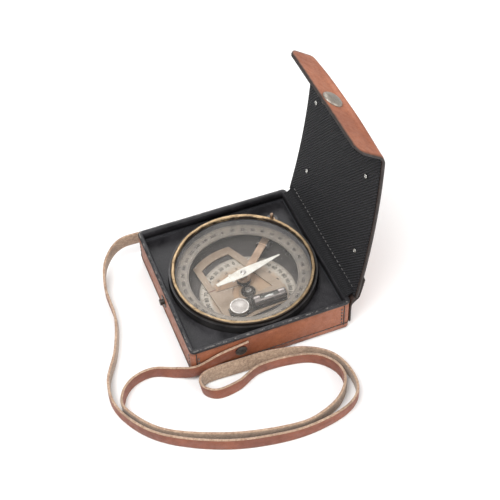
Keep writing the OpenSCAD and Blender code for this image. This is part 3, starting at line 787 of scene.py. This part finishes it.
def welts(name, lines, closed):
    """Thin round welt along each line of points, given with its outward direction at a point."""
    verts, faces = [], []
    for points, out_of in lines:
        rings = []
        for i, p in enumerate(points):
            out = out_of(p)
            rings.append(circle(p, out, heading(points, i, closed).cross(out), WELT_R))
        add_mesh(verts, faces, *loft(rings, wrap=closed))
    plain_piece(name, verts, faces, "burnt", "case")


def build_welts():
    """Dark welt along the seam between the walls and the bottom, and the raised joints at the near
    corners; their dark colour is partly the leather's own and partly painted shade of the seams'
    grooves.
    """
    ring = rect_ring(CASE_HX, CASE_HY, CASE_R, SEAM_Z)

    def outward(p):
        x = max(0, abs(p.x) - (CASE_HX - CASE_R)) * math.copysign(1, p.x)
        y = max(0, abs(p.y) - (CASE_HY - CASE_R)) * math.copysign(1, p.y)
        return Vector((x, y, 0)).normalized()

    # the welts' dark leather also stands for the shade in the grooves of the seams, as painted
    # shade
    welts("bottom_welt", [(ring, outward)], True)
    foot, height, rows = 0.0042, 0.0185, 12
    posts = []
    for x in (0.0478, -0.0488):
        line = [Vector((x, -CASE_HY, foot + height * k / rows)) for k in range(rows + 1)]
        posts.append((line, lambda p: -Y_AXIS))
    welts("corner_welts", posts, False)


build_welts()


# ---------------------------------------------------------------- stitching and rivet ends
# A stitch's rings as (place, radius, lift): the first is a share of its length, the others of
# its radius
STITCH = ((-0.5, 0.25, -0.9), (-0.42, 0.8, -0.35), (-0.2, 1, 0.1), (0.2, 1, 0.1),
          (0.42, 0.8, -0.35), (0.5, 0.25, -0.9))


def stitch(centre, along, out, length, radius):
    """One thread stitch: a capsule bent into the surface at both ends."""
    side = along.cross(out).normalized()
    return loft([circle(centre + along * (t * length) + out * (lift * radius), side, out,
                        r * radius, 6) for t, r, lift in STITCH])


def seam(name, runs, body, material="thread", pitch=0.0032, length=0.0025, radius=0.00048):
    """Stitches along straight runs of (from, to, outward normal)."""
    verts, faces = [], []
    for a, b, out in runs:
        a, b, out = Vector(a), Vector(b), Vector(out).normalized()
        along = (b - a).normalized()
        for k in range(max(1, int((b - a).length / pitch))):
            centre = a + along * (pitch * (k + 0.5) + rng.uniform(-1, 1) * 0.0002)
            add_mesh(verts, faces,
                     *stitch(centre, along, out, length * rng.uniform(0.85, 1.1), radius))
    plain_piece(name, verts, faces, material, body)


def build_stitches():
    """The case's corner and bottom seams, and the hinge's seams inside and outside the lid."""
    y, x = -CASE_HY, -CASE_HX
    front, left = (0, -1, 0), (-1, 0, 0)
    seam("front_stitches", [((0.0462, y, 0.0055), (0.0462, y, 0.022), front),
                            ((-0.046, y, SEAM_Z), (0.0455, y, SEAM_Z), front),
                            ((-0.0475, y, 0.006), (-0.0475, y, 0.021), front)], "case")
    seam("left_stitches", [((x, -0.0485, 0.004), (x, -0.0485, 0.021), left),
                           ((x, 0.0485, 0.004), (x, 0.0485, 0.021), left)], "case")
    seam("back_stitches", [((0.0475, -y, 0.0035), (0.0475, -y, 0.022), (0, 1, 0)),
                           ((-0.0485, -y, 0.004), (-0.0485, -y, 0.021), (0, 1, 0))], "case")
    half, crease_u, outer_u, clearance, hinge_t = Y_AXIS * 0.048, 0.0056, 0.0128, 0.0001, 0.00135
    crease = lid_point(crease_u) - LID_OUT * clearance
    seam("hinge_stitches", [(crease - half, crease + half, -LID_OUT)], "lid", "pale_thread",
         0.0036, 0.0022, 0.00022)
    outer = lid_point(outer_u) + LID_OUT * (LID_T + hinge_t)
    seam("hinge_back_stitches", [(outer - half, outer + half, LID_OUT)], "lid")


build_stitches()


def build_rivet_ends():
    """Rolled ends of the lid's tubular rivets, standing on the cloth."""
    verts, faces = [], []
    rolled, wire, proud, steps = 0.00105, 0.00028, 0.00045, 24
    for u, y in LID_RIVETS:
        centre = lid_point(u) - LID_OUT * proud + Y_AXIS * y
        rings = []
        for radial in circle(Vector(), LID_DIR, Y_AXIS, 1, steps):
            rings.append(circle(centre + radial * rolled, radial, -LID_OUT, wire))
        add_mesh(verts, faces, *loft(rings, wrap=True))
    plain_piece("rivet_ends", verts, faces, "rivet_metal", "lid")


build_rivet_ends()


# ---------------------------------------------------------------- dial marks
GLYPHS = {}


def glyph_mesh(text):
    """Outline mesh of a numeral, centred, of unit size."""
    if text not in GLYPHS:
        curve = bpy.data.curves.new("numeral", "FONT")
        curve.body, curve.size, curve.extrude = text, 1.0, 0.0
        curve.align_x, curve.align_y = "CENTER", "CENTER"
        curve.resolution_u, curve.offset = 3, 0.018
        obj = bpy.data.objects.new("numeral", curve)
        bpy.context.collection.objects.link(obj)
        bpy.context.view_layer.update()
        graph = bpy.context.evaluated_depsgraph_get()
        mesh = bpy.data.meshes.new_from_object(obj.evaluated_get(graph))
        GLYPHS[text] = ([v.co.copy() for v in mesh.vertices],
                        [tuple(f.vertices) for f in mesh.polygons])
        bpy.data.objects.remove(obj)
        bpy.data.meshes.remove(mesh)
        bpy.data.curves.remove(curve)
    return GLYPHS[text]


class Marks:
    """Collects flat strokes and numerals around a centre, at one height. Degrees run
    anticlockwise from +X."""

    def __init__(self, centre, z):
        self.centre, self.z, self.verts, self.faces = centre, z, [], []

    def add(self, points, polygons=((0, 1, 2, 3),)):
        add_mesh(self.verts, self.faces, points, polygons)

    def place(self, r, angle):
        c = self.centre
        return Vector((c.x + r * math.cos(angle), c.y + r * math.sin(angle), self.z))

    def tick(self, degrees, r0, r1, width):
        a = math.radians(degrees)
        side = Vector((-math.sin(a), math.cos(a), 0)) * (width / 2)
        inner, outer = self.place(r0, a), self.place(r1, a)
        self.add([inner - side, outer - side, outer + side, inner + side])

    def line(self, start, end, width):
        """A stroke between two (x, y) places measured from the centre."""
        a, b = (self.centre + Vector((*p, self.z)) for p in (start, end))
        side = (b - a).normalized().cross(Z_AXIS) * (width / 2)
        self.add([a + side, b + side, b - side, a - side])

    def arc(self, a0, a1, r, width, steps=120):
        inner, outer = r - width / 2, r + width / 2
        for k in range(steps):
            a, b = (math.radians(a0 + (a1 - a0) * (k + i) / steps) for i in (0, 1))
            self.add([self.place(inner, a), self.place(outer, a),
                      self.place(outer, b), self.place(inner, b)])

    def numeral(self, text, degrees, r, size):
        points, polygons = glyph_mesh(text)
        a = math.radians(degrees)
        radial = Vector((math.cos(a), math.sin(a), 0))
        right = Vector((math.sin(a), -math.cos(a), 0))
        spot = self.place(r, a)
        self.add([spot + right * (p.x * size) + radial * (p.y * size) for p in points], polygons)

    def done(self, name, body, material="ink"):
        plain_piece(name, self.verts, self.faces, material, body)


def build_marks():
    """Ticks and numerals of the ring and the scale, the index line on the clinometer's arm, and a
    painted shadow line along the lower edge of its window.
    """
    lift = 0.00004
    rim, numerals, circle_r, thin, thick = 0.0428, 0.0385, 0.0357, 0.00016, 0.00022
    ring = Marks(COMPASS, RING_TOP + lift)
    for degrees in range(360):
        ten = degrees % 10 == 0
        depth = 0.0022 if ten else 0.0016 if degrees % 5 == 0 else 0.0010
        ring.tick(degrees, rim - depth, rim, thick if ten else thin)
    for degrees in range(0, 360, 10):
        ring.numeral(str((90 - degrees) % 360), degrees, numerals, 0.0028)
    ring.arc(0, 360, circle_r, 0.00015, 180)
    ring.done("ring_marks", "compass")

    arc_w, outer, outer_numerals = 0.00016, 0.0310, 0.0270
    inner, inner_end, inner_numerals = 0.0186, 0.0200, 0.0220
    scale = Marks(PIVOT, SCALE_TOP + lift)
    for degrees in range(-38, 219, 2):
        depth, width = (0.0022, 0.00026) if degrees % 10 == 0 else (0.0013, 0.00018)
        scale.tick(degrees, outer - depth, outer, width)
    for degrees in range(-30, 211, 10):
        scale.numeral(str(abs(degrees - 90)), degrees, outer_numerals, 0.0035)
    for degrees in range(0, 181, 4):
        scale.tick(degrees, inner, inner_end, 0.0002)
    for degrees in range(10, 171, 20):
        scale.numeral(str(abs(degrees - 90) // 2), degrees, inner_numerals, 0.0022)
    scale.arc(-38, 218, outer, arc_w)
    scale.arc(0, 180, inner, arc_w)
    scale.done("scale_marks", "compass")

    arm = Marks(PIVOT, ARM_TOP + lift)
    arm.line((-0.0235, 0.0092), (-0.0195, 0.0095), 0.00065)
    arm.done("index_line", "clinometer", "index")
    # painted shadow: a dark ink line along the window's lower edge stands for the shadow at that
    # edge
    sill_shadow = Marks(PIVOT, ARM_TOP + lift)
    sill_shadow.line((-0.0191, 0.0076), (-0.0038, 0.0076), 0.0003)
    sill_shadow.done("window_edge_shadow", "clinometer")


build_marks()


# ---------------------------------------------------------------- snap, levels and pin spring
def build_snap_cap():
    """Domed cap of the snap, standing on the flap's grain side."""
    centre = FOLD + FLAP_DIR * SNAP_U + FLAP_OUT * FLAP_T
    profile = ((0.0064, 0), (0.0066, 0.0004), (0.0065, 0.0009), (0.0060, 0.0015),
               (0.0050, 0.0021), (0.0036, 0.0025), (0.0020, 0.0027), (0.0005, 0.00275))
    verts, faces = loft([circle(centre + FLAP_OUT * h, FLAP_DIR, Y_AXIS, r, 48)
                         for r, h in profile])
    plain_piece("snap_dome", verts, faces, "snap_metal", "flap", ["snap_cap"])


build_snap_cap()


def build_round_level():
    """The round level's air bubble, a little off centre, and the dark ring under it."""
    bubble = ((0.0004, 0.01075), (0.0014, 0.0109), (0.0019, 0.01125), (0.0014, 0.0116),
              (0.0004, 0.01175))
    ring = ((0.0024, 0.00962), (0.0024, 0.00970), (0.0027, 0.00970), (0.0027, 0.00962))
    off_centre = ROUND_LEVEL + Vector((0.0006, 0.0005, 0))
    for name, profile, centre, slot, material in (
            ("round_level_bubble", bubble, off_centre, "level_glass", "level_white"),
            ("round_level_ring", ring, ROUND_LEVEL, "level_white", "ink")):
        verts, faces = loft([circle(centre + Z_AXIS * z, X_AXIS, Y_AXIS, r, 48)
                             for r, z in profile])
        plain_piece(name, verts, faces, material, "clinometer")


build_round_level()


def build_tube_bubble():
    """Air bubble lying along the top of the tube level."""
    half, radius, steps = 0.0032, 0.0010, 6
    middle = PIVOT + Vector((0.0097, -0.0116, 0.0112 + 0.0011))
    rings = []
    for k in range(-steps, steps + 1):
        t = k / steps
        r = radius * math.sqrt(max(0.02, 1 - t * t))
        rings.append(circle(middle + X_AXIS * (half * t), Y_AXIS, Z_AXIS, r, 16))
    verts, faces = loft(rings)
    plain_piece("tube_bubble", verts, faces, "level_white", "clinometer")


build_tube_bubble()


def build_return_spring():
    """Coil round the push pin, built at one fixed length; the real spring shortens as the pin goes
    down.
    """
    turns, steps, coil, wire = 5, 160, 0.0017, 0.00016
    foot, low, high = 0.015, 0.01516, 0.01844
    reach = 0.0468 / math.sqrt(2)
    axis = COMPASS + Vector((reach, reach, 0))
    rings = []
    for i in range(steps + 1):
        a = 2 * math.pi * turns * i / steps
        radial = Vector((math.cos(a), math.sin(a), 0))
        middle = axis + radial * coil + Z_AXIS * (low + (high - low) * i / steps)
        rings.append(circle(middle, radial, Z_AXIS, wire))
    verts, faces = loft(rings)
    obj = plain_piece("return_spring", verts, faces, "spring_steel", "compass",
                      ["pin_spring"])
    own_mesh(obj)


build_return_spring()


# ---------------------------------------------------------------- CAD nodes: finish and soft edges
BEVELS = {
    "insert_block": 0.0005, "housing": 0.0003, "front_rivet": 0.0003, "back_rivet": 0.0003,
    "snap_stud": 0.0003, "bezel_ring": 0.0001, "arm_plate": 0.00012, "level_bracket": 0.00015,
    "level_tube": 0.00015, "level_caps": 0.0002, "round_level_cup": 0.0001, "hub_boss": 0.0002,
    "hub_screw": 0.0002, "needle_blade": 0.00008, "needle_cap": 0.0001, "lift_lever": 0.0001,
    "setting_knob": 0.0002, "needle_post": 0.00015, "lid_rivets": 0.00008,
    "plate_screws": 0.0001, "snap_socket": 0.0001}
# Nodes whose look is not the one that their CAD slot is named after
FINISHES = {
    "arm_plate": "plate_tan", "round_level_cup": "steel", "round_level_glass": "level_lens",
    # lid_rivets in dark metal is painted shade, standing for the hollow inside the rolled rivet
    # ends
    "balance_weight": "needle_white", "needle_cap": "steel", "lid_rivets": "dark_metal"}


def finish_cad():
    """Gives every CAD node in view the material named as its slot, or the one that FINISHES names,
    and soft edges where BEVELS gives a width.
    """
    for row in frame["record"]["subparts"]:
        obj = frame["nodes"][row["node"]]
        material = M.get(FINISHES.get(row["node"], row["material_slot"]))
        if obj.hide_render or material is None:
            continue
        obj.data.materials.clear()
        obj.data.materials.append(material)
        width = BEVELS.get(row["node"])
        if width:
            bevel = obj.modifiers.new("soft_edges", "BEVEL")
            bevel.width, bevel.segments = width, 2
            bevel.limit_method, bevel.angle_limit = "ANGLE", math.radians(40)


finish_cad()


# ---------------------------------------------------------------- stage and light
def build_stage():
    """White floor, white surroundings and the plain view transform."""
    s = Shader("floor_white", 0.9)
    s.to("Base Color", s.mix(s.noise(3, 2), (0.90, 0.90, 0.90), (0.93, 0.93, 0.93)))
    size, z = 4.0, -0.0003
    corners = [(-size, -size, z), (size, -size, z), (size, size, z), (-size, size, z)]
    floor = make_object("floor", corners, [(0, 1, 2, 3)], (s.material,))
    world = bpy.data.worlds.new("studio")
    world.use_nodes = True
    background = world.node_tree.nodes["Background"]
    background.inputs[0].default_value = (1, 1, 1, 1)
    background.inputs[1].default_value = 0.55
    bpy.context.scene.world = world
    bpy.context.scene.view_settings.view_transform = "Standard"


def area_light(name, spot, aim, size, power, tint=(1, 1, 1)):
    """A round soft light at spot, aimed at aim."""
    data = bpy.data.lights.new(name, "AREA")
    data.shape, data.size, data.energy, data.color = "DISK", size, power, tint
    light = bpy.data.objects.new(name, data)
    light.location = spot
    direction = Vector(aim) - Vector(spot)
    light.rotation_euler = direction.to_track_quat("-Z", "Y").to_euler()
    bpy.context.collection.objects.link(light)


build_stage()
area_light("key", (-0.35, -0.25, 0.85), (0, 0, 0.02), 0.6, 7.0)
area_light("fill", (0.55, -0.75, 0.55), (0, 0, 0.03), 0.7, 4.5, (1, 0.98, 0.95))
area_light("back", (0.25, 0.75, 0.65), (0, 0, 0.05), 0.6, 4.0)
